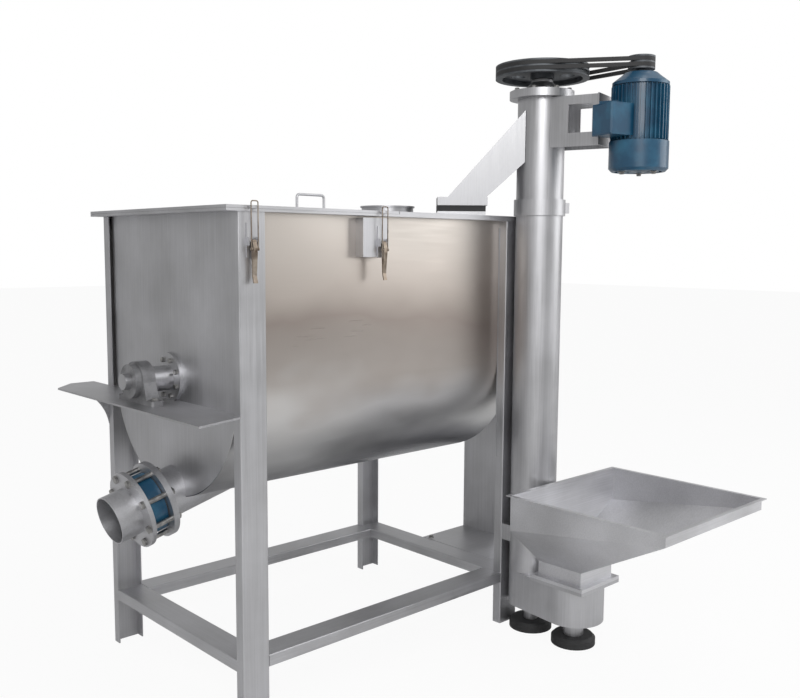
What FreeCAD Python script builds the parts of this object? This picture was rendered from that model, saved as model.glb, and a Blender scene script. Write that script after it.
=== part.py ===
import FreeCAD, Part
import math
import os

os.makedirs("parts", exist_ok=True)

# Horizontal trough mixer: ribbon agitator, butterfly valve outlet and a vertical screw feeder.
# Millimetres. X runs along the agitator shaft from the outlet end, Y from the front legs to the
# rear legs, Z up from the floor. The finished model is moved so that its origin is the middle of
# its footprint.

# frame of bent channel
frame_length = 1240.0
frame_width = 836.0
channel_web = 92.0
channel_flange = 36.0
channel_plate = 4.0
rail_top = 198.0
leg_height = 1516.0

# trough
sheet = 3.0
end_recess = 14.0
shaft_height = 1003.0
rim_plate = 8.0
rim_end_overhang = 42.0
rim_side_overhang = 6.0
crossbar_width = 40.0
crossbar_depth = 10.0

# lids
lid_height = 9.0
lid_sheet = 2.0
lid_play = 0.5
lid_split = 609.0
split_gap = 2.0
seal_width = 18.0
seal_play = 0.3
inlet_x = 825.0
inlet_y = 290.0
inlet_radius = 93.0
inlet_height = 32.0
inlet_bead = 5.0
handle_x = 320.0
handle_y = 86.0
handle_width = 104.0
handle_height = 44.0
handle_rod = 4.0
handle_bend = 10.0

# hinges
hinge_places = (120.0, 450.0)
hinge_offset = 12.0
hinge_rise = 6.0
hinge_barrel = 8.0
hinge_pin = 4.0
hinge_knuckle = 16.0
hinge_knuckles = 5
hinge_leaf = 3.0
hinge_reach = 44.0
hinge_gap = 0.3

# toggle latches
latch_width = 36.0
latch_base_bottom = 1385.0
latch_base_top = 1484.0
latch_plate = 3.0
latch_pivot_out = 11.0
latch_pivot_height = 1432.0
latch_pin = 2.5
latch_crank_out = 6.0
latch_crank_down = 22.0
latch_link_pin = 2.0
latch_lever_half = 7.0
latch_lever_length = 118.0
latch_wire = 1.8
latch_wire_half = 11.5
latch_loop_top = 1545.0
latch_bend = 6.0
latch_catch = 8.5
latch_left_x = 44.0
latch_right_x = 537.0
bracket_x0 = 460.0
bracket_x1 = 562.0
bracket_bottom = 1387.0
bracket_top = 1510.0

# agitator
shaft_radius = 25.0
shaft_end_x = -152.0
wall_clearance = 7.0
end_clearance = 9.0
ribbon_plate = 6.0
outer_ribbon_width = 60.0
inner_ribbon_width = 50.0
inner_ribbon_radius = 190.0
ribbon_turns = 2
sections_per_turn = 24
spokes_per_turn = 4
spoke_radius = 12.5
hub_radius = 40.0
hub_width = 50.0
running_gap = 0.05

# shaft supports
shelf_reach = 165.0
shelf_plate = 6.0
shelf_front = 50.0
shelf_rear = 112.0
shelf_corner = 80.0
shelf_notch = 1.0
drive_shelf_half = 220.0
gusset_reach = 140.0
gusset_drop = 131.0
gusset_plate = 4.0
gusset_hollow = 0.33      # how far the curved edge keeps from the inner corner
bearing_height = 69.0
block_inner_x = -70.0
block_length = 42.0
block_radius = 60.0
block_half = 110.0
block_foot = 16.0
block_bolt = 8.0
insert_radius = 46.0
insert_bulge = 20.0
insert_ring_radius = 53.0
box_flange_radius = 80.0
box_flange = 12.0
box_neck_radius = 40.0
box_length = 74.0
box_bolts = 8
packing_wall = 8.0

# outlet
outlet_tilt = 15.0
spout_tip_x = -205.0
spout_tip_z = 577.0
pipe_radius = 76.5
pipe_wall = 3.0
neck_wall = 6.0
spout_length = 75.0
flange_radius = 125.0
front_flange = 14.0
rear_flange = 20.0
flange_gasket = 3.0
valve_length = 56.0
valve_radius = 96.0
valve_bolt_circle = 107.0
valve_bolt_radius = 8.0
valve_bolt_count = 8
stem_radius = 9.0
stem_reach = 92.0
disc_plate = 8.0
disc_play = 1.0
lever_length = 140.0
lever_width = 24.0
lever_plate = 10.0

# drive of the agitator
platform_length = 460.0
platform_y0 = 40.0
platform_y1 = 512.0
platform_plate = 6.0
platform_leg = 50.0
pedestal_x = 1490.0
pedestal_width = 190.0
pedestal_top = 820.0
reducer_foot = 18.0
reducer_half = 82.0
reducer_top = 92.0
worm_drop = 78.0
quill_wall = 10.0
drive_motor_radius = 78.0
drive_motor_length = 230.0

# vertical screw feeder
feeder_x = 1222.0
feeder_y = -88.0
tube_radius = 84.0
tube_wall = 3.0
tube_notch = 2.0
boot_bottom = 93.0
boot_top = 226.0
boot_plate = 4.0
intake_offset = 197.0
intake_radius = 106.0
tube_top = 1943.0
tube_flange_radius = 114.0
tube_flange = 27.0
cone_radius = 66.0
cone_height = 40.0
clamp_bottom = 1534.0
clamp_height = 57.0
clamp_wall = 8.0
clamp_lug_angle = -43.0
lower_tie_bottom = 330.0
lower_tie_height = 60.0
screw_shaft_radius = 24.0
flight_radius = 76.0
flight_pitch = 160.0
flight_plate = 5.0
flight_sections = 12
foot_bearing_radius = 46.0
foot_bearing_height = 22.0
front_post_radius = 36.0
rear_post_radius = 26.0
foot_pad_radius = 79.0
foot_pad_height = 33.0
foot_pad_edge = 10.0

# belt drive and its motor
belt_angle = -75.0
belt_centres = 357.0
pulley_radius = 165.0
pulley_bottom = 2014.0
pulley_height = 44.0
motor_pulley_radius = 45.0
belt_width = 13.0
belt_depth = 9.0
belt_gap = 0.4
belt_spacing = 19.0
motor_radius = 96.0
motor_core = 84.0
motor_fins = 36
motor_fin = 3.0
motor_bottom = 1677.0
motor_fan_top = 1777.0
motor_shoulder = 1961.0
motor_bell = 42.0
motor_shaft_radius = 14.0
motor_foot_gap = 20.0
terminal_angle = 165.0
terminal_reach = 165.0
terminal_half = 50.0
terminal_bottom = 1790.0
terminal_top = 1893.0
bracket_half = 60.0
bracket_plate = 5.0
bracket_low = 1768.0
bracket_high = 1940.0
window_from = 125.0
window_to = 212.0
window_low = 1814.0
window_high = 1910.0

# chute into the fixed lid
chute_angle = 137.0
chute_half = 58.0
chute_sheet = 3.0
chute_top_high = 1877.0
chute_bottom_high = 1701.0
chute_foot = 1597.0
chute_near = 197.0
chute_far = 334.0
chute_hole = 240.0
chute_flange = 29.0
chute_flange_near = 193.0
chute_flange_far = 370.0
chute_seal = 21.0
chute_rim = 6.0

# hopper
hopper_x0 = 964.0
hopper_x1 = 1577.0
hopper_y0 = -796.0
hopper_y1 = -196.0
hopper_top = 571.0
hopper_sheet = 3.0
hopper_lip = 12.0
skirt_front = 40.0
skirt_rear = 125.0
neck_half = 92.0
neck_bottom = 300.0
neck_flange_half = 112.0
neck_flange = 12.0

V = FreeCAD.Vector
X_AXIS, Y_AXIS, Z_AXIS = V(1, 0, 0), V(0, 1, 0), V(0, 0, 1)
shaft_y = frame_width / 2
shell_outer = shaft_y - channel_flange
shell_inner = shell_outer - sheet
shell_x0 = end_recess
shell_x1 = frame_length - end_recess
wall_inside = channel_flange + sheet
rim_x0, rim_x1 = -rim_end_overhang, frame_length + rim_end_overhang
rim_y0, rim_y1 = -rim_side_overhang, frame_width + rim_side_overhang
rim_top = leg_height + rim_plate
lid_top = rim_top + lid_height
shelf_top = shaft_height - bearing_height
tilt = math.radians(outlet_tilt)
outlet_dir = V(math.cos(tilt), 0, math.sin(tilt))
spout_tip = V(spout_tip_x, shaft_y, spout_tip_z)
gasket_front = spout_length + front_flange
valve_start = gasket_front + flange_gasket
gasket_rear = valve_start + valve_length
rear_flange_start = gasket_rear + flange_gasket
neck_start = rear_flange_start + rear_flange
tube_axis = V(feeder_x, feeder_y, 0)
intake_axis = V(feeder_x, feeder_y - intake_offset, 0)
tube_inner = tube_radius - tube_wall
belt_turn = math.radians(belt_angle)
motor_axis = tube_axis + V(math.cos(belt_turn), math.sin(belt_turn), 0) * belt_centres
hinge_y = rim_y1 + hinge_offset
hinge_z = rim_top + hinge_rise

nodes = {}


def box(x0, y0, z0, x1, y1, z1):
    return Part.makeBox(x1 - x0, y1 - y0, z1 - z0, V(x0, y0, z0))


def rod(radius, start, direction, length):
    return Part.makeCylinder(radius, length, start, direction)


def ring(outer, inner, start, direction, length):
    return rod(outer, start, direction, length).cut(rod(inner, start, direction, length))


def fuse(shapes):
    return shapes[0].fuse(shapes[1:]).removeSplitter()


def group(shapes):
    return Part.makeCompound([solid for shape in shapes for solid in shape.Solids])


def prism(points, direction):
    return Part.Face(Part.makePolygon(points + points[:1])).extrude(direction)


def turned(profile, start, direction):
    # profile: (radius, height) pairs, revolved and set along the direction
    points = [V(r, 0, h) for r, h in profile]
    body = Part.Face(Part.makePolygon(points + points[:1])).revolve(V(0, 0, 0), Z_AXIS, 360)
    body.Placement = FreeCAD.Placement(start, FreeCAD.Rotation(Z_AXIS, direction))
    return body


def hexagon(radius, start, direction, height):
    corners = [V(radius * math.cos(k * math.pi / 3), radius * math.sin(k * math.pi / 3), 0) for k in range(6)]
    body = prism(corners, Z_AXIS * height)
    body.Placement = FreeCAD.Placement(start, FreeCAD.Rotation(Z_AXIS, direction))
    return body


def around(centre, direction, radius, count):
    # evenly spaced places on a circle square to the direction, the first half a step round
    turn = FreeCAD.Rotation(Z_AXIS, direction)
    places = []
    for k in range(count):
        angle = 2 * math.pi * (k + 0.5) / count
        places.append(centre + turn.multVec(V(radius * math.cos(angle), radius * math.sin(angle), 0)))
    return places


def at_tube(shape, angle):
    # a shape modelled with the feeder tube on the Z axis, turned and moved to its place
    move = FreeCAD.Placement(tube_axis, FreeCAD.Rotation(Z_AXIS, angle))
    shape.Placement = move.multiply(shape.Placement)
    return shape


def bent_rod(points, radius, bend):
    # round bar with square corners rounded to the bend radius
    edges = []
    start = points[0]
    for before, corner, after in zip(points, points[1:], points[2:]):
        first = corner + (before - corner).normalize() * bend
        last = corner + (after - corner).normalize() * bend
        centre = first + last - corner
        middle = centre + (corner - centre).normalize() * bend
        edges.append(Part.LineSegment(start, first).toShape())
        edges.append(Part.Arc(first, middle, last).toShape())
        start = last
    edges.append(Part.LineSegment(start, points[-1]).toShape())
    profile = Part.Wire(Part.makeCircle(radius, points[0], points[1] - points[0]))
    return Part.Wire(edges).makePipeShell([profile], True, False)


def two_circle_outline(centre_a, radius_a, centre_b, radius_b):
    # face bounded by two arcs and their outer tangents
    span = centre_b - centre_a
    base = math.atan2(span.y, span.x)
    lean = math.acos((radius_a - radius_b) / span.Length)

    def place(centre, radius, angle):
        return centre + V(math.cos(base + angle), math.sin(base + angle), 0) * radius

    a0, a1 = place(centre_a, radius_a, lean), place(centre_a, radius_a, -lean)
    b0, b1 = place(centre_b, radius_b, lean), place(centre_b, radius_b, -lean)
    edges = [Part.Arc(a0, place(centre_a, radius_a, math.pi), a1).toShape(),
             Part.LineSegment(a1, b1).toShape(),
             Part.Arc(b1, place(centre_b, radius_b, 0), b0).toShape(),
             Part.LineSegment(b0, a0).toShape()]
    return Part.Face(Part.Wire(edges))


# ---- frame ----
def channel_section():
    # web on the first axis, flanges along the second
    t, w, f = channel_plate, channel_web, channel_flange
    return [(0, 0), (w, 0), (w, f), (w - t, f), (w - t, t), (t, t), (t, f), (0, f)]


def channel(corner, across, depth, length):
    # bent channel along the length vector, its two outer corners rounded
    points = [corner + across * a + depth * b for a, b in channel_section()]
    body = prism(points, length)
    bends = []
    for edge in body.Edges:
        on_web = all(abs((v.Point - corner).dot(depth)) < 1e-6 for v in edge.Vertexes)
        if on_web and abs(edge.Length - length.Length) < 1e-6:
            bends.append(edge)
    return body.makeFillet(channel_plate, bends)


def frame():
    far_x = frame_length - channel_web
    up = Z_AXIS * leg_height
    nodes["leg_front_left"] = channel(V(0, 0, 0), X_AXIS, Y_AXIS, up)
    nodes["leg_front_right"] = channel(V(far_x, 0, 0), X_AXIS, Y_AXIS, up)
    nodes["leg_rear_left"] = channel(V(0, frame_width, 0), X_AXIS, -Y_AXIS, up)
    nodes["leg_rear_right"] = channel(V(far_x, frame_width, 0), X_AXIS, -Y_AXIS, up)
    along = X_AXIS * (frame_length - 2 * channel_web)
    across = Y_AXIS * (frame_width - 2 * channel_flange)
    nodes["rail_front"] = channel(V(channel_web, 0, rail_top), Y_AXIS, -Z_AXIS, along)
    nodes["rail_rear"] = channel(V(channel_web, frame_width - channel_web, rail_top), Y_AXIS, -Z_AXIS, along)
    nodes["rail_left"] = channel(V(0, channel_flange, rail_top), X_AXIS, -Z_AXIS, across)
    nodes["rail_right"] = channel(V(far_x, channel_flange, rail_top), X_AXIS, -Z_AXIS, across)


# ---- trough ----
def trough_volume(radius, x0, x1):
    # U section: half round below the shaft, straight sides above it
    left, right = shaft_y - radius, shaft_y + radius
    arc = Part.Arc(V(x0, left, shaft_height), V(x0, shaft_y, shaft_height - radius), V(x0, right, shaft_height))
    edges = [Part.LineSegment(V(x0, left, leg_height), V(x0, left, shaft_height)).toShape(),
             arc.toShape(),
             Part.LineSegment(V(x0, right, shaft_height), V(x0, right, leg_height)).toShape(),
             Part.LineSegment(V(x0, right, leg_height), V(x0, left, leg_height)).toShape()]
    return Part.Face(Part.Wire(edges)).extrude(X_AXIS * (x1 - x0))


def outlet_cutter():
    return rod(pipe_radius, spout_tip, outlet_dir, 2 * shell_outer)


def trough():
    shell = trough_volume(shell_outer, shell_x0, shell_x1).cut(trough_volume(shell_inner, shell_x0, shell_x1))
    nodes["trough_shell"] = shell.cut(outlet_cutter())
    bore = rod(shaft_radius + packing_wall, V(0, shaft_y, shaft_height), X_AXIS, frame_length)
    first = trough_volume(shell_inner, shell_x0, shell_x0 + sheet).cut(bore)
    nodes["end_plate_outlet"] = first.cut(outlet_cutter())
    nodes["end_plate_drive"] = trough_volume(shell_inner, shell_x1 - sheet, shell_x1).cut(bore)
    flange = box(rim_x0, rim_y0, leg_height, rim_x1, rim_y1, rim_top)
    inside_x0, inside_x1 = shell_x0 + sheet, shell_x1 - sheet
    opening = box(inside_x0, wall_inside, leg_height, inside_x1, frame_width - wall_inside, rim_top)
    half = crossbar_width / 2
    crossbar = box(lid_split - half, wall_inside, rim_top - crossbar_depth,
                   lid_split + half, frame_width - wall_inside, rim_top)
    nodes["trough_rim"] = fuse([flange.cut(opening), crossbar]).cut(tube_clearance())


def tube_clearance():
    return rod(tube_radius + tube_notch, tube_axis, Z_AXIS, lid_top)


# ---- lids ----
def tray(x0, x1, bottom):
    outer = box(x0, rim_y0, bottom, x1, rim_y1, lid_top)
    t = lid_sheet
    return outer.cut(box(x0 + t, rim_y0 + t, bottom, x1 - t, rim_y1 - t, lid_top - t))


def lids():
    lid_edge = lid_split - split_gap / 2
    opening_lid = tray(rim_x0, lid_edge, rim_top + lid_play)
    catches = []
    for x in (latch_left_x, latch_right_x):
        catches.append(box(x - latch_catch, rim_y0 - latch_catch, rim_top + lid_play,
                           x + latch_catch, rim_y0, lid_top))
    nodes["opening_lid"] = fuse([opening_lid] + catches)
    inlet = V(inlet_x, inlet_y, lid_top)
    bore = inlet_radius - sheet
    fixed_lid = tray(lid_split + split_gap / 2, rim_x1, rim_top)
    fixed_lid = fixed_lid.cut(rod(bore, inlet - Z_AXIS * lid_height, Z_AXIS, lid_height))
    fixed_lid = fixed_lid.cut(chute_opening(rim_top, lid_top)).cut(tube_clearance())
    nodes["fixed_lid"] = fuse([fixed_lid, chute_landing()])
    collar = [ring(inlet_radius, bore, inlet, Z_AXIS, inlet_height)]
    collar.append(ring(inlet_radius + inlet_bead, bore, inlet + Z_AXIS * (inlet_height - inlet_bead), Z_AXIS, inlet_bead))
    nodes["inlet_collar"] = fuse(collar)
    x, y, z = handle_x, handle_y, lid_top
    half = handle_width / 2
    nodes["lid_handle"] = bent_rod([V(x - half, y, z), V(x - half, y, z + handle_height),
                                    V(x + half, y, z + handle_height), V(x + half, y, z)], handle_rod, handle_bend)
    lid_seal()
    hinges()


def lid_seal():
    # strip on the rim round the mouth, broken where the two lids meet
    x0, x1 = shell_x0 + sheet, shell_x1 - sheet
    y0, y1 = wall_inside, frame_width - wall_inside
    w, under = seal_width, lid_top - lid_sheet
    strips = []
    break_half = split_gap / 2 + lid_sheet + seal_play
    for left, right, top in ((x0 - w, lid_split - break_half, under - seal_play),
                             (lid_split + break_half, x1 + w, under)):
        strip = box(left, y0 - w, rim_top, right, y1 + w, top)
        strips.append(strip.cut(box(x0, y0, rim_top, x1, y1, top)))
    nodes["lid_seal"] = group(strips)


def hinges():
    fixed, moving = [], []
    width = hinge_knuckle * hinge_knuckles
    for place in hinge_places:
        swung = [box(place + hinge_gap, rim_y1 - hinge_reach, lid_top,
                     place + width - hinge_gap, rim_y1, lid_top + hinge_leaf)]
        still = [box(place + hinge_gap, rim_y1, leg_height, place + width - hinge_gap,
                     hinge_y, leg_height + hinge_leaf)]
        for k in range(hinge_knuckles):
            x0 = place + k * hinge_knuckle + hinge_gap
            x1 = place + (k + 1) * hinge_knuckle - hinge_gap
            barrel = rod(hinge_barrel, V(x0, hinge_y, hinge_z), X_AXIS, x1 - x0)
            if k % 2:
                swung += [barrel, box(x0, rim_y1 - 1, lid_top, x1, hinge_y, lid_top + hinge_leaf)]
            else:
                still += [barrel, box(x0, hinge_y - hinge_leaf, leg_height, x1, hinge_y, hinge_z)]
        start = V(place + hinge_gap, hinge_y, hinge_z)
        length = width - 2 * hinge_gap
        fixed.append(fuse(still).cut(rod(hinge_pin, start, X_AXIS, length)))
        fixed.append(rod(hinge_pin, start, X_AXIS, length))
        moving.append(fuse(swung).cut(rod(hinge_pin + running_gap, start, X_AXIS, length)))
    nodes["hinge_bases"] = group(fixed)
    nodes["lid_hinge_leaves"] = group(moving)


# ---- latches ----
def latches():
    bases = [latch_base(latch_left_x), latch_base(latch_right_x)]
    plate = box(bracket_x0, 0, bracket_bottom, bracket_x1, channel_flange, bracket_top)
    hollow = box(bracket_x0 + sheet, sheet, bracket_bottom, bracket_x1 - sheet, channel_flange, bracket_top)
    nodes["latch_bases"] = group(bases + [plate.cut(hollow)])
    for side, x in (("left", latch_left_x), ("right", latch_right_x)):
        nodes["latch_lever_" + side] = latch_lever(x)
        nodes["latch_loop_" + side] = latch_loop(x)


def latch_base(x):
    half = latch_width / 2
    ear, depth = latch_pin, latch_pivot_out + latch_pin + 1
    plate = box(x - half, -latch_plate, latch_base_bottom, x + half, 0, latch_base_top)
    parts = [plate]
    for edge in (x - half, x + half - ear):
        parts.append(box(edge, -depth, latch_pivot_height - 12, edge + ear, -latch_plate, latch_pivot_height + 12))
    parts.append(rod(latch_pin, V(x - half, -latch_pivot_out, latch_pivot_height), X_AXIS, latch_width))
    return fuse(parts)


def latch_lever(x):
    # bent strap with a barrel on the base pin and a cross pin for the wire loop
    half = latch_lever_half
    y, z = -latch_pivot_out, latch_pivot_height
    link_y, link_z = y - latch_crank_out, z - latch_crank_down
    barrel = rod(latch_pin + 3, V(x - half, y, z), X_AXIS, 2 * half)
    tip = z - latch_lever_length
    outline = [V(x - half, y - 5, z), V(x - half, y + 5, z), V(x - half, y + 2, link_z - 8),
               V(x - half, y, tip + 20), V(x - half, y - 6, tip), V(x - half, y - 10, tip),
               V(x - half, y - 4, tip + 22), V(x - half, link_y - 4, link_z - 8), V(x - half, link_y - 4, link_z + 4)]
    strap = prism(outline, X_AXIS * (2 * half))
    reach = latch_wire_half + latch_wire
    pin = rod(latch_link_pin, V(x - reach, link_y, link_z), X_AXIS, 2 * reach)
    bore = rod(latch_pin + running_gap, V(x - half, y, z), X_AXIS, 2 * half)
    return fuse([barrel, strap, pin]).cut(bore)


def latch_loop(x):
    # wire loop hung on the lever's cross pin, its bar standing in front of the lid's catch
    y = -latch_pivot_out - latch_crank_out
    z = latch_pivot_height - latch_crank_down
    eye = latch_link_pin + 2.6
    half = latch_wire_half
    wire = bent_rod([V(x - half, y, z + eye - 1), V(x - half, y, latch_loop_top),
                     V(x + half, y, latch_loop_top), V(x + half, y, z + eye - 1)], latch_wire, latch_bend)
    eyes = [rod(eye, V(place - latch_wire, y, z), X_AXIS, 2 * latch_wire) for place in (x - half, x + half)]
    reach = half + latch_wire
    bore = rod(latch_link_pin + running_gap, V(x - reach, y, z), X_AXIS, 2 * reach)
    return fuse([wire] + eyes).cut(bore)


# ---- outlet ----
def along_outlet(distance):
    return spout_tip + outlet_dir * distance


def outlet():
    bore = pipe_radius - pipe_wall
    holes = []
    for place in around(along_outlet(spout_length), outlet_dir, valve_bolt_circle, valve_bolt_count):
        holes.append(rod(valve_bolt_radius, place, outlet_dir, neck_start - spout_length))
    holes = Part.makeCompound(holes)
    spout = fuse([rod(pipe_radius, spout_tip, outlet_dir, spout_length),
                  rod(flange_radius, along_outlet(spout_length), outlet_dir, front_flange)])
    nodes["discharge_spout"] = spout.cut(rod(bore, spout_tip, outlet_dir, gasket_front)).cut(holes)
    rear = ring(flange_radius, bore, along_outlet(rear_flange_start), outlet_dir, rear_flange).cut(holes)
    pipe = ring(bore + neck_wall, bore, along_outlet(neck_start), outlet_dir, shell_outer)
    pipe = pipe.cut(trough_volume(shell_outer, shell_x0, shell_x1))
    pipe = max(pipe.Solids, key=lambda solid: solid.Volume)
    nodes["outlet_neck"] = fuse([pipe, rear])
    valve(bore)


def valve(bore):
    middle = along_outlet(valve_start + valve_length / 2)
    body = ring(valve_radius, bore, along_outlet(valve_start), outlet_dir, valve_length)
    boss = rod(stem_radius * 2, middle, Y_AXIS, pipe_radius + stem_reach - lever_plate)
    boss = boss.cut(rod(pipe_radius + 1, along_outlet(valve_start), outlet_dir, valve_length))
    reach = pipe_radius + stem_reach
    stem = rod(stem_radius, middle - Y_AXIS * valve_radius * 0.9, Y_AXIS, valve_radius * 0.9 + reach + lever_plate)
    stem_bore = rod(stem_radius + running_gap, middle - Y_AXIS * valve_radius * 0.9, Y_AXIS, 2 * reach)
    nodes["valve_body"] = fuse([body, boss]).cut(stem_bore)
    across = V(-outlet_dir.z, 0, outlet_dir.x)
    disc_radius = bore - disc_play
    disc = rod(disc_radius, middle - across * (disc_plate / 2), across, disc_plate)
    nodes["valve_disc"] = fuse([disc, stem])
    handle = box(-lever_width / 2, 0, -lever_width / 2, lever_length, lever_plate, lever_width / 2)
    corners = [edge for edge in handle.Edges if abs(edge.Length - lever_plate) < 1e-6]
    handle = handle.makeFillet(lever_width / 3, corners)
    handle.Placement = FreeCAD.Placement(middle + Y_AXIS * reach, FreeCAD.Rotation(Y_AXIS, -outlet_tilt))
    nodes["valve_lever"] = handle.cut(stem)
    seals = [ring(valve_radius - 2, bore, along_outlet(s), outlet_dir, flange_gasket)
             for s in (gasket_front, gasket_rear)]
    wall = V(shell_x0, shaft_y, shaft_height)
    packing = ring(shaft_radius + packing_wall, shaft_radius + running_gap, wall, -X_AXIS, box_length)
    nodes["gaskets"] = group(seals + [chute_gasket(), packing, mirror_to_drive(packing)])


# ---- shaft supports ----
def mirror_to_drive(shape):
    return shape.mirror(V(frame_length / 2, 0, 0), X_AXIS)


def supports():
    shelves()
    wall = V(shell_x0, shaft_y, shaft_height)
    bore = shaft_radius + packing_wall
    stuffing = fuse([rod(box_flange_radius, wall, -X_AXIS, box_flange), rod(box_neck_radius, wall, -X_AXIS, box_length)])
    stuffing = stuffing.cut(rod(bore, wall, -X_AXIS, box_length))
    nodes["stuffing_boxes"] = group([stuffing, mirror_to_drive(stuffing)])
    x0 = block_inner_x - block_length
    foot = box(x0, shaft_y - block_half, shelf_top, block_inner_x, shaft_y + block_half, shelf_top + block_foot)
    corners = [edge for edge in foot.Edges if abs(edge.Length - block_foot) < 1e-6]
    foot = foot.makeFillet(block_bolt, corners)
    cheek = prism([V(x0, shaft_y - block_half * 0.7, shelf_top + block_foot),
                   V(x0, shaft_y + block_half * 0.7, shelf_top + block_foot),
                   V(x0, shaft_y + block_radius, shaft_height), V(x0, shaft_y - block_radius, shaft_height)],
                  X_AXIS * block_length)
    housing = rod(block_radius, V(x0, shaft_y, shaft_height), X_AXIS, block_length)
    seat = rod(insert_radius, V(x0, shaft_y, shaft_height), X_AXIS, block_length)
    block = fuse([foot, cheek, housing]).cut(seat)
    nodes["pillow_blocks"] = group([block, mirror_to_drive(block)])
    shaft_hole = shaft_radius + running_gap
    insert = fuse([rod(insert_radius, V(x0, shaft_y, shaft_height), X_AXIS, block_length),
                   rod(insert_ring_radius, V(x0, shaft_y, shaft_height), -X_AXIS, insert_bulge)])
    insert = insert.cut(rod(shaft_hole, V(x0 - insert_bulge, shaft_y, shaft_height), X_AXIS, block_length + insert_bulge))
    nodes["bearing_inserts"] = group([insert, mirror_to_drive(insert)])


def shelves():
    chamfer, y1 = shelf_corner, frame_width + shelf_rear
    inside = channel_flange
    outline = [V(0, 0, 0), V(0, inside, 0), V(shell_x0, inside, 0), V(shell_x0, frame_width - inside, 0),
               V(0, frame_width - inside, 0), V(0, y1, 0), V(chamfer - shelf_reach, y1, 0),
               V(-shelf_reach, y1 - chamfer, 0), V(-shelf_reach, -shelf_front, 0)]
    level = Z_AXIS * (shelf_top - shelf_plate)
    shelf = prism([p + level for p in outline], Z_AXIS * shelf_plate)
    y = frame_width - gusset_plate
    corner, tip = V(0, y, shelf_top - shelf_plate), V(-gusset_reach, y, shelf_top - shelf_plate)
    low = V(0, y, shelf_top - shelf_plate - gusset_drop)
    middle = V(-gusset_reach * gusset_hollow, y, shelf_top - shelf_plate - gusset_drop * gusset_hollow)
    edges = [Part.LineSegment(corner, tip).toShape(), Part.Arc(tip, middle, low).toShape(),
             Part.LineSegment(low, corner).toShape()]
    gusset = Part.Face(Part.Wire(edges)).extrude(Y_AXIS * gusset_plate)
    notch = rod(box_flange_radius + shelf_notch, V(shell_x0, shaft_y, shaft_height), -X_AXIS, box_flange + shelf_notch)
    nodes["bearing_shelf_outlet"] = fuse([shelf, gusset]).cut(notch)
    far_shelf = box(shell_x1, shaft_y - drive_shelf_half, shelf_top - shelf_plate,
                    frame_length + shelf_reach, shaft_y + drive_shelf_half, shelf_top)
    nodes["bearing_shelf_drive"] = far_shelf.cut(mirror_to_drive(notch))


def bolts():
    # flange bolts of the valve, and the screws that hold the stuffing boxes and pillow blocks
    found = []
    grip = neck_start - spout_length
    hex_radius, head = valve_bolt_radius * 1.7, valve_bolt_radius
    for place in around(along_outlet(spout_length), outlet_dir, valve_bolt_circle, valve_bolt_count):
        shank = rod(valve_bolt_radius, place, outlet_dir, grip + head * 1.5)
        front = hexagon(hex_radius, place - outlet_dir * head, outlet_dir, head)
        back = hexagon(hex_radius, place + outlet_dir * grip, outlet_dir, head)
        found.append(fuse([shank, front, back]))
    face = V(shell_x0 - box_flange, shaft_y, shaft_height)
    circle = (box_flange_radius + box_neck_radius) / 2
    for place in around(face, X_AXIS, circle, box_bolts):
        screw = hexagon(block_bolt, place, -X_AXIS, block_bolt)
        found += [screw, mirror_to_drive(screw)]
    x = block_inner_x - block_length / 2
    for side in (-1, 1):
        place = V(x, shaft_y + side * (block_half - 2 * block_bolt), shelf_top + block_foot)
        screw = hexagon(block_bolt * 1.5, place, Z_AXIS, block_bolt)
        found += [screw, mirror_to_drive(screw)]
    nodes["flange_bolts"] = group(found)


# ---- agitator ----
def helix_bar(radius, width, hand, angle, x_first, pitch):
    # flat bar on edge, wound round the shaft from ruled sections
    step = pitch / sections_per_turn
    wires = []
    for k in range(ribbon_turns * sections_per_turn + 3):
        x = x_first + (k - 1) * step
        a = angle + hand * 2 * math.pi * (k - 1) / sections_per_turn
        out = V(0, math.cos(a), math.sin(a))
        middle = V(x, shaft_y, shaft_height)
        inner, outer = middle + out * (radius - ribbon_plate), middle + out * radius
        side = X_AXIS * (width / 2)
        wires.append(Part.makePolygon([inner - side, outer - side, outer + side, inner + side, inner - side]))
    return Part.makeLoft(wires, True, True)


def agitator():
    span = frame_length - 2 * (end_recess + sheet + end_clearance) - outer_ribbon_width
    pitch = span / (ribbon_turns + 2 / sections_per_turn)
    first = end_recess + sheet + end_clearance + outer_ribbon_width / 2 + pitch / sections_per_turn
    top = math.pi / 2
    outer_radius = shell_inner - wall_clearance
    outer_ribbon = helix_bar(outer_radius, outer_ribbon_width, 1, top, first, pitch)
    inner_ribbon = helix_bar(inner_ribbon_radius, inner_ribbon_width, -1, -top, first, pitch)
    nodes["outer_ribbon"] = outer_ribbon
    nodes["inner_ribbon"] = inner_ribbon
    shaft_stop = pedestal_x + pedestal_width
    shaft = rod(shaft_radius, V(shaft_end_x, shaft_y, shaft_height), X_AXIS, shaft_stop - shaft_end_x)
    nodes["main_shaft"] = shaft
    stations = []
    for k in range(ribbon_turns * spokes_per_turn + 1):
        centre = V(first + k * pitch / spokes_per_turn, shaft_y, shaft_height)
        stations.append(spoke_station(centre, top + 2 * math.pi * k / spokes_per_turn, outer_radius, k % 2 == 1))
    nodes["spokes"] = group([s.cut(outer_ribbon).cut(inner_ribbon) for s in stations])


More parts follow.
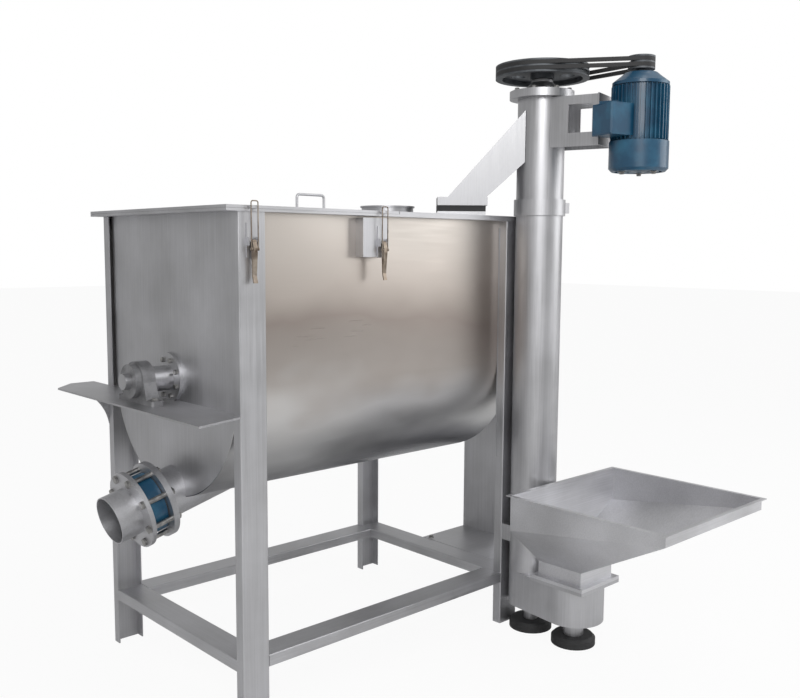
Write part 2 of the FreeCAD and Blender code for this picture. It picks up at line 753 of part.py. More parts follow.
def spoke_station(centre, angle, outer_radius, same_side):
    # hub ring with rods out to both ribbons
    out = V(0, math.cos(angle), math.sin(angle))
    outer_end = outer_radius - ribbon_plate
    inner_end = inner_ribbon_radius - ribbon_plate
    hub = rod(hub_radius, centre - X_AXIS * (hub_width / 2), X_AXIS, hub_width)
    parts = [hub]
    if same_side:
        parts.append(rod(spoke_radius, centre, out, outer_end))
    else:
        parts.append(rod(spoke_radius, centre - out * inner_end, out, inner_end + outer_end))
    return fuse(parts).cut(rod(shaft_radius, centre - X_AXIS * hub_width, X_AXIS, 2 * hub_width))


# ---- drive of the agitator ----
def finned_motor(core, fin_radius, length, count):
    # along +Z from its fan end
    fins = []
    for k in range(count):
        fin = Part.makeBox(fin_radius - core + 2, motor_fin, length - 2 * motor_fin,
                           V(core - 2, -motor_fin / 2, motor_fin))
        fin.rotate(V(0, 0, 0), Z_AXIS, 360.0 * k / count)
        fins.append(fin)
    return rod(core, V(0, 0, 0), Z_AXIS, length).fuse(fins)


def drive():
    t, x0, x1 = platform_plate, frame_length, frame_length + platform_length
    deep = channel_flange
    skirt = box(x0, platform_y0, rail_top - deep, x1, platform_y1, rail_top)
    skirt = skirt.cut(box(x0 + t, platform_y0 + t, rail_top - deep, x1 - t, platform_y1 - t, rail_top - t))
    posts = []
    for y in (platform_y0, platform_y1 - platform_leg):
        post = box(x1 - platform_leg, y, 0, x1, y + platform_leg, rail_top - deep)
        posts.append(post.cut(box(x1 - platform_leg, y + t, 0, x1 - t, y + platform_leg - t, rail_top - deep)))
    nodes["drive_platform"] = fuse([skirt] + posts)
    half = pedestal_width / 2
    p0, p1 = pedestal_x, pedestal_x + pedestal_width
    column = box(p0, shaft_y - half, rail_top, p1, shaft_y + half, pedestal_top)
    hollow = box(p0 + t, shaft_y - half + t, rail_top, p1 - t, shaft_y + half - t, pedestal_top - t)
    nodes["drive_pedestal"] = column.cut(hollow)
    reducer(p0, p1)


def reducer(p0, p1):
    # worm reducer whose hollow shaft sits on the end of the agitator shaft
    r = reducer_half
    foot = box(p0, shaft_y - pedestal_width / 2, pedestal_top, p1, shaft_y + pedestal_width / 2,
               pedestal_top + reducer_foot)
    x0, x1 = p0 + reducer_foot, p1 - reducer_foot
    worm_z = shaft_height - worm_drop
    case = box(x0, shaft_y - r, pedestal_top + reducer_foot, x1, shaft_y + r, shaft_height + reducer_top)
    long_edges = [edge for edge in case.Edges if abs(edge.Length - (x1 - x0)) < 1e-6 and edge.CenterOfMass.z > worm_z]
    case = case.makeFillet(r / 2, long_edges)
    quill = shaft_radius + quill_wall
    cover = rod(quill + 20, V(x0 - reducer_foot / 2, shaft_y, shaft_height), X_AXIS, x1 - x0 + reducer_foot)
    flange = rod(drive_motor_radius, V((p0 + p1) / 2, shaft_y + r, worm_z), Y_AXIS, reducer_foot)
    bore = rod(quill + running_gap, V(p0, shaft_y, shaft_height), X_AXIS, p1 - p0)
    nodes["worm_reducer"] = fuse([foot, case, cover, flange]).cut(bore)
    nodes["output_quill"] = ring(quill, shaft_radius, V(p0, shaft_y, shaft_height), X_AXIS, p1 - p0)
    start = V((p0 + p1) / 2, shaft_y + r + reducer_foot, worm_z)
    body = finned_motor(drive_motor_radius - 12, drive_motor_radius, drive_motor_length * 0.7, motor_fins * 2 // 3)
    body.Placement = FreeCAD.Placement(start, FreeCAD.Rotation(Z_AXIS, Y_AXIS))
    hood = turned([(0, 0), (drive_motor_radius, 0), (drive_motor_radius, drive_motor_length * 0.22),
                   (drive_motor_radius - 12, drive_motor_length * 0.3), (0, drive_motor_length * 0.3)],
                  start + Y_AXIS * drive_motor_length * 0.7, Y_AXIS)
    nodes["drive_motor"] = group([body, hood])


# ---- vertical feeder ----
def feeder():
    z = Z_AXIS
    height = boot_top - boot_bottom
    t = boot_plate
    outline = two_circle_outline(intake_axis + z * boot_bottom, intake_radius, tube_axis + z * boot_bottom, tube_radius)
    inside = two_circle_outline(intake_axis + z * (boot_bottom + t), intake_radius - t,
                                tube_axis + z * (boot_bottom + t), tube_radius - t)
    boot = outline.extrude(z * height).cut(inside.extrude(z * (height - 2 * t)))
    boot = boot.cut(rod(tube_inner, tube_axis + z * (boot_top - t), z, t))
    boot = boot.cut(rod(neck_half - t, intake_axis + z * (boot_top - t), z, t))
    rear_post = rod(rear_post_radius, tube_axis + z * foot_pad_height, z, boot_bottom - foot_pad_height)
    front_post = rod(front_post_radius, intake_axis + z * foot_pad_height, z, boot_bottom - foot_pad_height)
    bearing_bore = screw_shaft_radius + running_gap
    floor = boot_bottom + t
    foot_bearing = ring(foot_bearing_radius, bearing_bore, tube_axis + z * floor, z, foot_bearing_height)
    nodes["feeder_boot"] = fuse([boot, rear_post, front_post, foot_bearing, boot_flange()])
    pads = []
    for axis in (tube_axis, intake_axis):
        pads.append(turned([(0, 0), (foot_pad_radius, 0), (foot_pad_radius, foot_pad_height - foot_pad_edge),
                            (foot_pad_radius - foot_pad_edge, foot_pad_height), (0, foot_pad_height)], axis, z))
    nodes["rubber_feet"] = group(pads)
    tube = ring(tube_radius, tube_inner, tube_axis + z * boot_top, z, tube_top - boot_top)
    nodes["feeder_tube"] = tube.cut(tube_window())
    clamp()
    top = tube_top + tube_flange
    cap = rod(tube_flange_radius, tube_axis + z * tube_top, z, tube_flange)
    cone = turned([(0, 0), (cone_radius, 0), (cone_radius, 6), (screw_shaft_radius + 14, cone_height - 8),
                   (screw_shaft_radius + 14, cone_height), (0, cone_height)], tube_axis + z * top, z)
    nodes["feeder_head"] = fuse([cap, cone]).cut(rod(bearing_bore, tube_axis, z, top + cone_height))
    screw(floor)


def boot_flange():
    # square flange round the intake, bolted to the hopper's
    f = neck_flange_half
    centre = intake_axis + Z_AXIS * boot_top
    plate = box(centre.x - f, centre.y - f, boot_top, centre.x + f, centre.y + f, boot_top + neck_flange)
    return plate.cut(rod(neck_half - boot_plate, centre, Z_AXIS, neck_flange)).cut(
        rod(tube_radius, tube_axis, Z_AXIS, tube_top))


def clamp():
    # band round the tube joint with a bolted lug, and the box that ties the tube to the rim
    low = tube_axis + Z_AXIS * clamp_bottom
    band = ring(tube_radius + clamp_wall, tube_radius, low, Z_AXIS, clamp_height)
    lug = Part.makeBox(2 * clamp_wall + 6, 18, clamp_height - 20, V(tube_radius, -9, clamp_bottom + 10))
    lug = at_tube(lug, clamp_lug_angle).cut(rod(tube_radius, low, Z_AXIS, clamp_height))
    leg_x = frame_length - channel_web
    block = box(leg_x + channel_plate, feeder_y, lower_tie_bottom, frame_length - channel_plate, 0,
                lower_tie_bottom + lower_tie_height)
    nodes["tube_clamps"] = group([fuse([band, lug]), block.cut(rod(tube_radius, tube_axis, Z_AXIS, lid_top))])


def screw(floor):
    shaft_top = pulley_bottom + pulley_height
    shaft = rod(screw_shaft_radius, tube_axis + Z_AXIS * (floor + 1), Z_AXIS, shaft_top - floor - 1)
    root = screw_shaft_radius / math.cos(math.pi / flight_sections)
    z0 = floor + foot_bearing_height + 4
    count = int((chute_bottom_high + chute_half - z0) / flight_pitch * flight_sections)
    wires = []
    for k in range(count + 1):
        angle = 2 * math.pi * k / flight_sections
        out = V(math.cos(angle), math.sin(angle), 0)
        level = tube_axis + Z_AXIS * (z0 + flight_pitch * k / flight_sections)
        a, b = level + out * root, level + out * flight_radius
        up = Z_AXIS * flight_plate
        wires.append(Part.makePolygon([a, b, b + up, a + up, a]))
    nodes["feeder_screw"] = group([shaft, Part.makeLoft(wires, True, True)])


# ---- belt drive ----
def belt_levels():
    middle = pulley_bottom + pulley_height / 2
    return (middle - belt_spacing / 2, middle + belt_spacing / 2)


def pulley(axis, radius, bore):
    wheel = rod(radius, axis + Z_AXIS * pulley_bottom, Z_AXIS, pulley_height)
    for level in belt_levels():
        low = axis + Z_AXIS * (level - belt_width / 2 - belt_gap)
        wheel = wheel.cut(ring(radius + 1, radius - belt_depth - belt_gap, low, Z_AXIS, belt_width + 2 * belt_gap))
    return wheel.cut(rod(bore, axis + Z_AXIS * pulley_bottom, Z_AXIS, pulley_height))


def belt_drive():
    wheel = pulley(tube_axis, pulley_radius, screw_shaft_radius)
    hub = screw_shaft_radius + 18
    rim = pulley_radius - belt_depth - 14
    web = 12.0
    for z in (pulley_bottom, pulley_bottom + (pulley_height + web) / 2):
        dish = ring(rim, hub, tube_axis + Z_AXIS * z, Z_AXIS, (pulley_height - web) / 2)
        wheel = wheel.cut(dish)
    openings = [rod(26, place, Z_AXIS, pulley_height)
                for place in around(tube_axis + Z_AXIS * pulley_bottom, Z_AXIS, (rim + hub) / 2, 5)]
    nodes["feeder_pulley"] = wheel.cut(Part.makeCompound(openings))
    shaft_from = motor_shoulder - 30
    shaft = rod(motor_shaft_radius, motor_axis + Z_AXIS * shaft_from, Z_AXIS, pulley_bottom + pulley_height - shaft_from)
    nodes["motor_pulley"] = fuse([pulley(motor_axis, motor_pulley_radius, motor_shaft_radius / 2), shaft])
    belts = []
    for level in belt_levels():
        low = Z_AXIS * (level - belt_width / 2)
        loops = []
        for grow in (0.0, belt_depth):
            loops.append(two_circle_outline(tube_axis + low, pulley_radius - belt_depth + grow,
                                            motor_axis + low, motor_pulley_radius - belt_depth + grow))
        belts.append(loops[1].extrude(Z_AXIS * belt_width).cut(loops[0].extrude(Z_AXIS * belt_width)))
    nodes["drive_belts"] = group(belts)


def belt_motor():
    d = belt_centres
    length = motor_shoulder - motor_fan_top
    body = finned_motor(motor_core, motor_radius, length, motor_fins)
    body.translate(V(d, 0, motor_fan_top))
    plate_x = d - motor_radius - motor_foot_gap
    feet = []
    for side in (-1, 1):
        y = side * bracket_half
        feet.append(box(plate_x, y - 16, window_low, d - motor_core / 2, y + 16, window_high))
    bell = turned([(0, 0), (motor_radius - 2, 0), (motor_radius - 2, 10), (motor_core - 16, motor_bell - 12),
                   (motor_core - 30, motor_bell), (0, motor_bell)], V(d, 0, motor_shoulder), Z_AXIS)
    bore = rod(motor_shaft_radius + running_gap, V(d, 0, motor_shoulder - 30), Z_AXIS, motor_bell + 31)
    nodes["feeder_motor"] = at_tube(fuse([body, bell] + feet).cut(bore), belt_angle)
    hood_radius = motor_radius + 3
    depth = motor_fan_top - motor_bottom
    hood = turned([(hood_radius - 2, 0), (hood_radius, 0), (hood_radius, depth - 10), (hood_radius - 10, depth),
                   (0, depth), (0, depth - 3), (hood_radius - 11, depth - 3), (hood_radius - 2, depth - 11)],
                  motor_axis + Z_AXIS * motor_fan_top, -Z_AXIS)
    slots = [ring(r + 5, r - 5, motor_axis + Z_AXIS * motor_bottom, Z_AXIS, 4) for r in (34, 54, 74)]
    bars = [box(motor_axis.x - motor_radius, motor_axis.y - 4, motor_bottom, motor_axis.x + motor_radius,
                motor_axis.y + 4, motor_bottom + 4),
            box(motor_axis.x - 4, motor_axis.y - motor_radius, motor_bottom, motor_axis.x + 4,
                motor_axis.y + motor_radius, motor_bottom + 4)]
    nodes["motor_fan_cover"] = hood.cut(Part.makeCompound(slots).cut(Part.makeCompound(bars)))
    terminal = box(motor_core - 12, -terminal_half, terminal_bottom, terminal_reach, terminal_half, terminal_top)
    corners = [edge for edge in terminal.Edges if abs(edge.CenterOfMass.x - terminal_reach) < 1e-6]
    terminal = terminal.makeChamfer(5, corners)
    terminal.Placement = FreeCAD.Placement(motor_axis, FreeCAD.Rotation(Z_AXIS, terminal_angle))
    nodes["motor_terminal_box"] = terminal.cut(nodes["feeder_motor"])
    motor_bracket(plate_x)


def motor_bracket(plate_x):
    # two windowed side plates between the tube and the motor's foot plate
    t = bracket_plate
    sides = []
    for y in (-bracket_half, bracket_half - t):
        sides.append(box(0, y, bracket_low, plate_x - t, y + t, bracket_high))
    foot = box(plate_x - t, -bracket_half - 16, bracket_low, plate_x, bracket_half + 16, bracket_high)
    frame_pieces = fuse(sides + [foot])
    frame_pieces = frame_pieces.cut(box(window_from, -bracket_half, window_low, window_to, bracket_half, window_high))
    frame_pieces = frame_pieces.cut(rod(tube_radius, V(0, 0, bracket_low), Z_AXIS, bracket_high - bracket_low))
    nodes["motor_bracket"] = at_tube(group(frame_pieces.Solids), belt_angle)


# ---- chute ----
def chute_profile(inset, half):
    # sloped duct between the tube and its landing on the lid
    run_top = (chute_top_high - chute_foot) / (chute_far - tube_radius)
    run_low = (chute_bottom_high - chute_foot) / (chute_near - tube_radius)
    top_drop = inset * math.hypot(1, run_top)
    low_rise = inset * math.hypot(1, run_low)
    start = tube_radius - 20
    points = [(start, chute_top_high + 20 * run_top - top_drop),
              (chute_far - top_drop / run_top, chute_foot),
              (chute_near + low_rise / run_low, chute_foot),
              (start, chute_bottom_high + 20 * run_low + low_rise)]
    return prism([V(s, -half, z) for s, z in points], Y_AXIS * 2 * half)


def chute_opening(z0, z1):
    half = chute_half - 2 * chute_rim
    return at_tube(box(chute_hole, -half, z0, chute_far - chute_rim, half, z1), chute_angle)


def chute_gasket():
    seal_bottom = chute_foot - chute_flange - chute_seal
    slab = box(chute_flange_near + chute_rim, -chute_half, seal_bottom, chute_flange_far, chute_half,
               seal_bottom + chute_seal)
    return at_tube(slab, chute_angle).cut(chute_opening(seal_bottom, seal_bottom + chute_seal))


def chute_landing():
    # stub on the fixed lid under the gasket
    top = chute_foot - chute_flange - chute_seal
    stub = at_tube(box(chute_flange_near + chute_rim, -chute_half, lid_top, chute_flange_far, chute_half, top),
                   chute_angle)
    return stub.cut(chute_opening(lid_top, top))


def tube_window():
    inner = at_tube(chute_profile(chute_sheet, chute_half - chute_sheet), chute_angle)
    return inner.common(rod(tube_radius + 1, tube_axis, Z_AXIS, tube_top))


def chute():
    duct = at_tube(chute_profile(0.0, chute_half), chute_angle)
    hollow = at_tube(chute_profile(chute_sheet, chute_half - chute_sheet), chute_angle)
    flange_low = chute_foot - chute_flange
    flange = at_tube(box(chute_flange_near, -chute_half - chute_rim, flange_low, chute_flange_far,
                         chute_half + chute_rim, chute_foot), chute_angle)
    around_tube = rod(tube_radius, tube_axis, Z_AXIS, tube_top)
    nodes["feed_chute"] = fuse([duct.cut(hollow).cut(around_tube), flange.cut(chute_opening(flange_low, chute_foot))])


# ---- hopper ----
def hopper():
    t = hopper_sheet

    def loop(x0, y0, x1, y1, z_front, z_rear):
        corners = [V(x0, y0, z_front), V(x1, y0, z_front), V(x1, y1, z_rear), V(x0, y1, z_rear)]
        return Part.makePolygon(corners + corners[:1])

    def funnel(inset):
        x0, x1 = hopper_x0 + inset, hopper_x1 - inset
        y0, y1 = hopper_y0 + inset, hopper_y1 - inset
        half = neck_half - inset
        nx, ny = intake_axis.x, intake_axis.y
        top = loop(x0, y0, x1, y1, hopper_top, hopper_top)
        fold = loop(x0, y0, x1, y1, hopper_top - skirt_front, hopper_top - skirt_rear)
        low = loop(nx - half, ny - half, nx + half, ny + half, neck_bottom, neck_bottom)
        neck = box(nx - half, ny - half, boot_top + neck_flange, nx + half, ny + half, neck_bottom)
        return fuse([Part.makeLoft([top, fold], True, True), Part.makeLoft([fold, low], True, True), neck])

    lip = box(hopper_x0 - hopper_lip, hopper_y0 - hopper_lip, hopper_top - t,
              hopper_x1 + hopper_lip, hopper_y1 + hopper_lip, hopper_top)
    nx, ny, f = intake_axis.x, intake_axis.y, neck_flange_half
    upper_flange = box(nx - f, ny - f, boot_top + neck_flange, nx + f, ny + f, boot_top + 2 * neck_flange)
    nodes["feed_hopper"] = fuse([funnel(0.0), lip, upper_flange]).cut(funnel(t))


frame()
trough()
lids()
latches()
outlet()
supports()
bolts()
agitator()
drive()
feeder()
belt_drive()
belt_motor()
chute()
hopper()

whole = Part.makeCompound(list(nodes.values())).BoundBox
origin_shift = V(-whole.Center.x, -whole.Center.y, -whole.ZMin)
for node_name, shape in sorted(nodes.items()):
    shape.translate(origin_shift)
    shape.exportStep("parts/" + node_name + ".step")
print("nodes", len(nodes), "shift", origin_shift)
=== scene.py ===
import bpy
import math
from mathutils import Matrix, Vector


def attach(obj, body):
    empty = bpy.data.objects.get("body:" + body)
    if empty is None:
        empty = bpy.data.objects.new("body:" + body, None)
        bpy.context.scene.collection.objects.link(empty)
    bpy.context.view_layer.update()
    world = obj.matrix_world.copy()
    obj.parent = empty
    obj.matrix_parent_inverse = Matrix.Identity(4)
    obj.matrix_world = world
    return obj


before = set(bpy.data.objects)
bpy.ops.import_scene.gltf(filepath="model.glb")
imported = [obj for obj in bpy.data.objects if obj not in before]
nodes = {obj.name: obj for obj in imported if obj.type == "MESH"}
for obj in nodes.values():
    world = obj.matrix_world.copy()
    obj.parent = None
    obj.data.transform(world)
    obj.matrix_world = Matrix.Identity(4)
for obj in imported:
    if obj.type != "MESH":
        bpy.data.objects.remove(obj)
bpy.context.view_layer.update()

print("frame loaded", len(nodes), "nodes")


# one socket of a shader, so that masks can be written as sums
class Wire:
    def __init__(self, sheet, socket):
        self.sheet = sheet
        self.socket = socket

    def maths(self, kind, first, second):
        node = self.sheet.tree.nodes.new("ShaderNodeMath")
        node.operation = kind
        for place, value in enumerate((first, second)):
            if isinstance(value, Wire):
                self.sheet.tree.links.new(value.socket, node.inputs[place])
            else:
                node.inputs[place].default_value = value
        return Wire(self.sheet, node.outputs[0])

    def __add__(self, other):
        return self.maths("ADD", self, other)

    def __radd__(self, other):
        return self.maths("ADD", other, self)

    def __sub__(self, other):
        return self.maths("SUBTRACT", self, other)

    def __rsub__(self, other):
        return self.maths("SUBTRACT", other, self)

    def __mul__(self, other):
        return self.maths("MULTIPLY", self, other)

    def __rmul__(self, other):
        return self.maths("MULTIPLY", other, self)


class Finish:
    def __init__(self, name, colour, metallic, roughness):
        self.material = bpy.data.materials.new(name)
        self.material.use_nodes = True
        self.tree = self.material.node_tree
        self.shader = self.tree.nodes["Principled BSDF"]
        self.shader.inputs["Base Color"].default_value = (*colour, 1)
        self.shader.inputs["Metallic"].default_value = metallic
        self.shader.inputs["Roughness"].default_value = roughness

    # any node: its settings first, then its sockets by name, or by number as i0, i1
    def put(self, kind, settings=None, out=0, **values):
        node = self.tree.nodes.new(kind)
        for name, value in (settings or {}).items():
            if name == "stops":
                self.setStops(node.color_ramp.elements, value)
            else:
                setattr(node, name, value)
        for name, value in values.items():
            numbered = name[0] == "i" and name[1:].isdigit()
            socket = node.inputs[int(name[1:])] if numbered else node.inputs[name]
            if isinstance(value, Wire):
                self.tree.links.new(value.socket, socket)
            else:
                socket.default_value = value
        return Wire(self, node.outputs[out])

    def setStops(self, elements, stops):
        for place, (at, colour) in enumerate(stops):
            stop = elements[place] if place < 2 else elements.new(at)
            stop.position = at
            stop.color = (*colour, 1)

    def place(self, scale):
        # object coordinates stretched along each axis
        coords = self.put("ShaderNodeTexCoord", out=3)
        return self.put("ShaderNodeMapping", Vector=coords, Scale=scale)

    def noise(self, scale, detail, stretch=(1, 1, 1)):
        where = self.place(stretch)
        return self.put("ShaderNodeTexNoise", Vector=where, Scale=scale, Detail=detail)

    def spread(self, wire, low, high, newLow, newHigh):
        # low..high of the wire stretched to newLow..newHigh
        return self.put("ShaderNodeMapRange", i0=wire, i1=low, i2=high, i3=newLow, i4=newHigh)

    def mix(self, factor, first, second):
        return self.put("ShaderNodeMix", {"data_type": "RGBA"}, out=2,
                        i0=factor, i6=first, i7=second)

    def feed(self, name, wire):
        self.tree.links.new(wire.socket, self.shader.inputs[name])

    def bump(self, height, strength, distance):
        dent = self.put("ShaderNodeBump", Height=height, Strength=strength, Distance=distance)
        self.feed("Normal", dent)


# finishes of the machine's parts
steelLook = {
    "light": (0.62, 0.62, 0.64),
    "dark": (0.44, 0.44, 0.45),
    "grain": 220,
    "drawn": 0.02,  # stretch of the grain along its axis
    "stain": 4.0,
    "rough": 0.4,
}
wallLook = {
    "reflectionCloud": 1.5,
    "rough": 0.32,
    "low": 0.62,  # heights between which the painted reflection and shade bands lie, in metres
    "high": 1.53,
    "paintedReflectionBands": [(0.0, (0.16, 0.16, 0.18)), (0.1, (0.30, 0.30, 0.31)), (0.2, (0.60, 0.60, 0.60)),
              (0.33, (0.66, 0.65, 0.64)), (0.45, (0.48, 0.44, 0.41)),
              (0.6, (0.38, 0.33, 0.30)), (0.75, (0.50, 0.45, 0.41)),
              (1.0, (0.56, 0.52, 0.48))],
}
paintLook = {
    "clean": (0.008, 0.062, 0.125),
    "worn": (0.02, 0.115, 0.2),
    "patch": 14,
    "peel": 700,
    "rough": 0.35,
    "coat": 0.3,
}


def brushedSteel(name, grainAxis, tint=1.0):
    # grain runs along one axis, with soft stains from wiping
    look = steelLook
    finish = Finish(name, look["light"], 1.0, look["rough"])
    stretch = [1, 1, 1]
    stretch[grainAxis] = look["drawn"]
    grain = finish.noise(look["grain"], 3, stretch)
    stain = finish.noise(look["stain"], 4)
    dark = [c * tint for c in look["dark"]] + [1]
    light = [c * tint for c in look["light"]] + [1]
    shade = finish.spread(stain + grain * 0.5, 0.5, 1.0, 0, 1)
    finish.feed("Base Color", finish.mix(shade, dark, light))
    smooth, dull = look["rough"] - 0.08, look["rough"] + 0.14
    finish.feed("Roughness", finish.spread(stain + grain, 0.6, 1.4, smooth, dull))
    finish.bump(grain, 0.12, 0.0004)
    return finish.material


def wallSteelPaintedReflections():
    # drawn sheet with a soft polish; its colour holds painted reflections and shade: wide light
    # and dark bands along the trough by height, bent by clouds
    look = wallLook
    finish = Finish("wallSteelPaintedReflections", look["paintedReflectionBands"][-1][1], 1.0, look["rough"])
    height = finish.put("ShaderNodeSeparateXYZ", out=2, Vector=finish.place((1, 1, 1)))
    cloud = finish.noise(look["reflectionCloud"], 3, (1, 1, 1.6))
    grain = finish.noise(180, 2, (0.03, 1, 1))
    level = finish.spread(height + cloud * 0.5 - 0.25, look["low"], look["high"], 0, 1)
    # painted reflections and shade: the colour follows the height through light and dark bands
    shade = finish.put("ShaderNodeValToRGB", {"stops": look["paintedReflectionBands"]}, Fac=level)
    finish.feed("Base Color", shade)
    smooth, dull = look["rough"] - 0.06, look["rough"] + 0.1
    finish.feed("Roughness", finish.spread(cloud + grain * 0.4, 0.5, 0.9, smooth, dull))
    finish.bump(grain, 0.05, 0.0003)
    return finish.material


def bluePaint():
    look = paintLook
    finish = Finish("bluePaint", look["clean"], 0.0, look["rough"])
    patch = finish.noise(look["patch"], 4)
    peel = finish.noise(look["peel"], 2)
    worn = finish.spread(patch, 0.45, 0.7, 0, 1)
    finish.feed("Base Color", finish.mix(worn, (*look["clean"], 1), (*look["worn"], 1)))
    finish.feed("Roughness", finish.spread(patch, 0.3, 0.7, 0.28, 0.46))
    finish.bump(peel, 0.15, 0.0003)
    finish.shader.inputs["Coat Weight"].default_value = look["coat"]
    return finish.material


def plainFinish(name, dark, light, metallic, rough, scale, bumpSize):
    finish = Finish(name, dark, metallic, rough)
    patch = finish.noise(scale, 5)
    fine = finish.noise(scale * 30, 3)
    shade = finish.spread(patch + fine * 0.3, 0.45, 0.85, 0, 1)
    finish.feed("Base Color", finish.mix(shade, (*dark, 1), (*light, 1)))
    finish.feed("Roughness", finish.spread(patch, 0.3, 0.7, rough - 0.07, rough + 0.1))
    finish.bump(fine, 0.3, bumpSize)
    return finish.material


steelUp = brushedSteel("steelUpright", 2)
steelAlong = brushedSteel("steelLengthwise", 0)
steelAcross = brushedSteel("steelCrosswise", 1)
steelShadedCopy = brushedSteel("steelPaintedShade", 2, 0.86)  # a darker copy of the upright steel: painted shade that tones down the bright sky reflection on the chute's sloping top; the welds share it
steelBright = brushedSteel("steelHopper", 0, 1.25)
wall = wallSteelPaintedReflections()
blue = bluePaint()
# name, dark colour, light colour, metallic, roughness, size of the patches, depth of the bumps
rubber = plainFinish("blackRubber", (0.012, 0.012, 0.013), (0.035, 0.035, 0.036),
                     0.0, 0.62, 12, 0.0006)
castGrey = plainFinish("castGrey", (0.17, 0.17, 0.175), (0.34, 0.34, 0.35),
                       0.7, 0.48, 30, 0.0008)
darkIron = plainFinish("darkIron", (0.06, 0.066, 0.075), (0.16, 0.17, 0.18),
                       0.6, 0.5, 25, 0.0006)
boltSteel = plainFinish("boltSteel", (0.2, 0.2, 0.2), (0.5, 0.49, 0.47),
                        1.0, 0.36, 60, 0.0002)
latchBronze = plainFinish("latchBronze", (0.16, 0.12, 0.09), (0.42, 0.36, 0.3),
                          1.0, 0.33, 40, 0.0002)

dressing = {
    steelUp: ["leg_front_left", "leg_front_right", "leg_rear_left", "leg_rear_right",
              "feeder_tube", "end_plate_outlet", "end_plate_drive", "drive_pedestal",
              "feeder_boot", "tube_clamps", "feeder_head", "motor_bracket", "feeder_screw",
              "latch_bases", "stuffing_boxes"],
    steelAlong: ["rail_front", "rail_rear", "trough_rim", "opening_lid", "fixed_lid",
                 "lid_handle", "hinge_bases", "lid_hinge_leaves", "inlet_collar", "main_shaft",
                 "outer_ribbon", "inner_ribbon", "spokes", "drive_platform", "output_quill"],
    steelAcross: ["rail_left", "rail_right", "bearing_shelf_outlet", "bearing_shelf_drive",
                  "discharge_spout", "outlet_neck", "valve_disc", "valve_lever"],
    steelShadedCopy: ["feed_chute"],
    steelBright: ["feed_hopper"],
    wall: ["trough_shell"],
    blue: ["feeder_motor", "motor_fan_cover", "motor_terminal_box", "drive_motor",
           "worm_reducer", "valve_body"],
    rubber: ["lid_seal", "gaskets", "rubber_feet", "drive_belts"],
    castGrey: ["pillow_blocks", "bearing_inserts"],
    darkIron: ["feeder_pulley", "motor_pulley"],
    boltSteel: ["flange_bolts"],
    latchBronze: ["latch_lever_left", "latch_lever_right", "latch_loop_left",
                  "latch_loop_right"],
}
for material, names in dressing.items():
    for name in names:
        for slot in nodes[name].material_slots:
            slot.material = material
print("finishes on", sum(len(names) for names in dressing.values()), "nodes")

# places below are in millimetres from the outer face of the left legs, the front face of the
# front legs and the floor
drawing = {"middleX": 737.6, "middleY": 70}


def spot(x, y, z):
    return Vector(((x - drawing["middleX"]) / 1000, (y - drawing["middleY"]) / 1000, z / 1000))


def turnedTo(direction):
    # a turn that points the Z axis along the direction
    return direction.to_track_quat("Z", "Y").to_matrix().to_4x4()


def selectFaces(piece, test):
    bpy.ops.object.mode_set(mode="EDIT")
    bpy.ops.mesh.select_mode(type="FACE")
    bpy.ops.mesh.select_all(action="DESELECT")
    bpy.ops.object.mode_set(mode="OBJECT")
    for face in piece.data.polygons:
        face.select = test(face)
    bpy.ops.object.mode_set(mode="EDIT")


def crown(piece, rim, rise):
    # the top face drawn in and raised, for a chamfered edge
    top = max(face.center.z for face in piece.data.polygons)
    selectFaces(piece, lambda face: face.center.z > top - 0.00001)
    bpy.ops.mesh.inset(thickness=rim)
    bpy.ops.transform.translate(value=(0, 0, rise))
    bpy.ops.object.mode_set(mode="OBJECT")


def gather(pieces, name, material, body):
    # several pieces made one, with its place in its mesh
    bpy.ops.object.select_all(action="DESELECT")
    for piece in pieces:
        piece.select_set(True)
    bpy.context.view_layer.objects.active = pieces[0]
    if len(pieces) > 1:
        bpy.ops.object.join()
    bpy.ops.object.transform_apply(location=True, rotation=True, scale=True)
    whole = bpy.context.object
    whole.name = name
    whole.data.materials.clear()
    whole.data.materials.append(material)
    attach(whole, body)
    return whole


boltMake = {
    "head": 0.0085,
    "height": 0.0065,
    "washer": 0.0115,
    "thick": 0.002,
    "rim": 0.0012,
    "rise": 0.0008,
}


def modelBolt():
    # hexagon head on a washer, both with a chamfer
    spec = boltMake
    bpy.ops.object.select_all(action="DESELECT")
    bpy.ops.mesh.primitive_cylinder_add(vertices=24, radius=spec["washer"], depth=spec["thick"],
                                        location=(0, 0, spec["thick"] / 2))
    washer = bpy.context.object
    crown(washer, spec["rim"] / 2, spec["rise"] / 2)
    bpy.ops.object.select_all(action="DESELECT")
    bpy.ops.mesh.primitive_cylinder_add(vertices=6, radius=spec["head"], depth=spec["height"],
                                        location=(0, 0, spec["thick"] + spec["height"] / 2))
    head = bpy.context.object
    crown(head, spec["rim"], spec["rise"])
    washer.select_set(True)
    bpy.ops.object.join()
    bpy.ops.object.transform_apply(location=True, rotation=True, scale=True)
    return bpy.context.object


def boltsAt(name, pattern, places, facing):
    bolts = []
    for at in places:
        twin = pattern.copy()
        twin.data = pattern.data.copy()
        bpy.context.collection.objects.link(twin)
        twin.matrix_world = Matrix.Translation(at) @ turnedTo(Vector(facing))
        bolts.append(twin)
    gather(bolts, name, boltSteel, "mixer")


def circle(x, y, z, radius, count, start):
    turns = [math.radians(start + 360 * k / count) for k in range(count)]
    return [spot(x + radius * math.cos(a), y + radius * math.sin(a), z) for a in turns]


fixings = {
    "tube": (1222, -88),
    "belt": 357,  # from the tube to the motor
    "beltTurn": -75,
    "tubeTop": 1970,
    "tubeCircle": 99,
    "fanBottom": 1677,
    "fanCircle": 60,
    "platformTop": 198,
    "platformX": (1262, 1668),
    "platformY": (66, 486),
}


